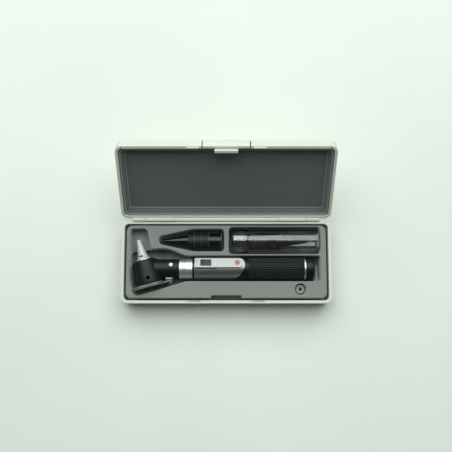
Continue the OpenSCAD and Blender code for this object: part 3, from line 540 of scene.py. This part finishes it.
# Upper shell
# The front half of the handle is a satin aluminium tube, cut off on a slant under the clip. Fine
# turning lines run round it.
upper = rounded_copy("upper_shell", "handle_shell", 0.00025)
satin = new_material("satin_aluminium", (0.36, 0.375, 0.37), 0.38, 1.0)
brushed(satin, 0.0004, 0.0000025, (1, 0.004, 0.004))
uneven_gloss(satin, 0.33, 0.40, 0.006)
hand_over(upper, "otoscope", satin)

# Fluted grip, end ring and end cap
# The grip is a black sleeve with flutes along it, which a bright ring closes. The black end cap
# screws into the tube behind it.
grip_black = new_material("grip_black", (0.004, 0.0046, 0.0044), 0.4)
mottle(grip_black, (0.0034, 0.0040, 0.0038), (0.005, 0.0057, 0.0055), 0.01)
uneven_gloss(grip_black, 0.36, 0.46, 0.006)
grain(grip_black, 0.0005, 0.000008)
shade(grip_black, {"Specular IOR Level": 0.3, "Specular Tint": (0.80, 1, 0.92, 1)})
grip = rounded_copy("grip_sleeve", "fluted_grip", 0.00018, angle=28)
hand_over(grip, "otoscope", grip_black)
ring = rounded_copy("end_ring", "bright_ring", 0.0005)
hand_over(ring, "otoscope", plated)
cap = rounded_copy("end_cap", "screw_cap", 0.0003)
hand_over(cap, "end_cap_body", grip_black)

# Pocket clip and switch
# The clip is a bright anodised strip with a round end. An aluminium rail lifts it off the shell,
# the switch slides in a slot through both, and a plain red mark is printed near the end.
anodised = new_material("anodised_bright", (0.46, 0.50, 0.475), 0.48, 0.15)
mottle(anodised, (0.445, 0.485, 0.46), (0.475, 0.515, 0.49), 0.004)
brushed(anodised, 0.0004, 0.000002, (0.004, 1, 1))
uneven_gloss(anodised, 0.44, 0.52, 0.004)
rail = rounded_copy("switch_housing", "clip_rail", 0.0002)
hand_over(rail, "otoscope", satin)
clip = rounded_copy("pocket_clip", "clip_strip", 0.00035)
hand_over(clip, "otoscope", anodised)
mark_red = new_material("mark_red", (0.43, 0.115, 0.075), 0.45)
mottle(mark_red, (0.40, 0.10, 0.065), (0.46, 0.13, 0.085), 0.001)
grain(mark_red, 0.0002, 0.000008)
mark = rounded_copy("clip_mark", "red_mark", 0.0001)
hand_over(mark, "otoscope", mark_red)

# The plate down in the slot of the switch is painted near black as shade, and the button standing
# on it is painted paler as lit.
PLATE_END = -0.0220
BUTTON_START = -0.0216
switch_black = new_material("switch_black", (0.02, 0.022, 0.021), 0.42)
place = add_node(switch_black, "ShaderNodeTexCoord", "Object", {})
along = add_node(switch_black, "ShaderNodeSeparateXYZ", "X", {"Vector": place})
painted_slot_shade = {
    "Fac": spread(switch_black, along, PLATE_END, BUTTON_START),
    "Color1": (0.002, 0.0024, 0.0022, 1),
    "Color2": (0.036, 0.040, 0.038, 1),
}
shade(switch_black, {"Base Color": add_node(switch_black, "ShaderNodeMixRGB", "Color", painted_slot_shade)})
uneven_gloss(switch_black, 0.38, 0.5, 0.002)
grain(switch_black, 0.0004, 0.00001)
switch = rounded_copy("slide_switch", "switch_button", 0.00012)
hand_over(switch, "switch", switch_black)

# Reusable ear specula
# Four funnels of hard glossy black plastic are pushed into each other, so the cone of the first
# shows and the skirts and rims of all four. Light runs along the cone and catches each rim.
STACK_AXIS = (0, 0.02185, 0.0155)
gloss_black = new_material("specula_gloss", (0.0035, 0.0045, 0.004), 0.12)
shade(gloss_black, {"Specular Tint": (0.84, 1, 0.94, 1)})
black_tone = mottle(gloss_black, (0.003, 0.004, 0.0035), (0.005, 0.006, 0.0055), 0.006)

# Off the axis of the stack the gloss gives way to matt skirts, that of the last funnel less so,
# and the edges of the rims are glossy again and painted paler as a highlight.
SKIRT_RADIUS = (0.0060, 0.0066)
RIM_RADIUS = (0.0082, 0.0084)
LAST_SKIRT = (-0.018, -0.0165)
place = add_node(gloss_black, "ShaderNodeTexCoord", "Object", {})
off_axis = {"Vector": place, "Location": (0, -STACK_AXIS[1], -STACK_AXIS[2]), "Scale": (0, 1, 1)}
across = add_node(gloss_black, "ShaderNodeMapping", "Vector", off_axis)
radius = vector_step(gloss_black, "LENGTH", across)
along = add_node(gloss_black, "ShaderNodeSeparateXYZ", "X", {"Vector": place})
skirt = spread(gloss_black, radius, *SKIRT_RADIUS)
not_rim = spread(gloss_black, radius, *RIM_RADIUS, 1, 0)
front = spread(gloss_black, along, *LAST_SKIRT, 1, 0.3)
matt = add_node(gloss_black, "ShaderNodeMath", "Value", {0: skirt, 1: not_rim}, "MULTIPLY")
matt_front = add_node(gloss_black, "ShaderNodeMath", "Value", {0: matt, 1: front}, "MULTIPLY")
shade(gloss_black, {"Roughness": spread(gloss_black, matt_front, 0, 1, 0.10, 0.55)})
painted_rim_highlight = {"Fac": not_rim, "Color1": (0.05, 0.057, 0.054, 1), "Color2": black_tone}
shade(gloss_black, {"Base Color": add_node(gloss_black, "ShaderNodeMixRGB", "Color", painted_rim_highlight)})
for number in range(1, 5):
    speculum = rounded_copy(f"speculum_{number}", f"ear_speculum_{number}", 0.00025)
    hand_over(speculum, "specula_stack", gloss_black)

# Clear tube of thin specula
# Ten thin specula, moulded of black plastic, are stacked in a moulded tube of crystal-clear
# plastic. A slightly wider clear cap is pushed on its left end.
thin_black = new_material("thin_black", (0.010, 0.012, 0.012), 0.28)
mottle(thin_black, (0.008, 0.010, 0.010), (0.014, 0.017, 0.017), 0.003)
uneven_gloss(thin_black, 0.22, 0.36, 0.003)
stack = rounded_copy("disposable_specula", "thin_specula", 0.0001)
hand_over(stack, "tube", thin_black)
crystal = clear_material("crystal_plastic", (0.95, 0.97, 0.965), 0.04, 1.59)
grain(crystal, 0.006, 0.00002)
tube = rounded_copy("tube_body", "clear_tube", 0.0003)
hand_over(tube, "tube", crystal)
tube_cap = rounded_copy("tube_cap", "clear_cap", 0.0003)
hand_over(tube_cap, "tube", crystal)

# Spare lamp
# The spare lamp hangs head down in its round pocket, held by its metal rim. Its dark contact
# shows in the middle of the rim.
nickel = new_material("dull_nickel", (0.24, 0.265, 0.25), 0.5, 0.7)
mottle(nickel, (0.22, 0.245, 0.23), (0.26, 0.285, 0.27), 0.002)
uneven_gloss(nickel, 0.44, 0.56, 0.001)
lamp_base = rounded_copy("spare_lamp_base", "lamp_rim", 0.0003)
hand_over(lamp_base, "spare_lamp", nickel)
dress("spare_lamp_contact", black)
dress("spare_lamp_bulb", lamp_glass)

# Table and light
# The case stands on a plain pale table. One large soft light hangs behind and above it, and a
# dim sky fills the shadows.
bpy.ops.object.select_all(action="DESELECT")
bpy.ops.mesh.primitive_plane_add(size=4, location=(0, 0, 0))
table = bpy.context.object
table.name = "table_top"
table_pale = new_material("table_pale", (0.73, 0.79, 0.735), 0.6)
mottle(table_pale, (0.71, 0.77, 0.715), (0.75, 0.81, 0.755), 0.3)
table.data.materials.append(table_pale)

bpy.ops.object.light_add(type="AREA", location=(0, 1.03, 1.53))
window_light = bpy.context.object
window_light.name = "soft_light"
window_light.data.shape = "RECTANGLE"
window_light.data.size = 3.0
window_light.data.size_y = 2.2
window_light.data.energy = 62
window_light.data.color = (0.965, 1, 0.97)
towards_case = Vector((0, 0, 0.02)) - window_light.location
window_light.rotation_euler = towards_case.to_track_quat("-Z", "Y").to_euler()

world = bpy.data.worlds.new("sky")
bpy.context.scene.world = world
world.use_nodes = True
world.node_tree.nodes["Background"].inputs["Color"].default_value = (0.96, 1.0, 0.98, 1)
world.node_tree.nodes["Background"].inputs["Strength"].default_value = 0.11

bpy.context.scene.view_settings.view_transform = "Standard"
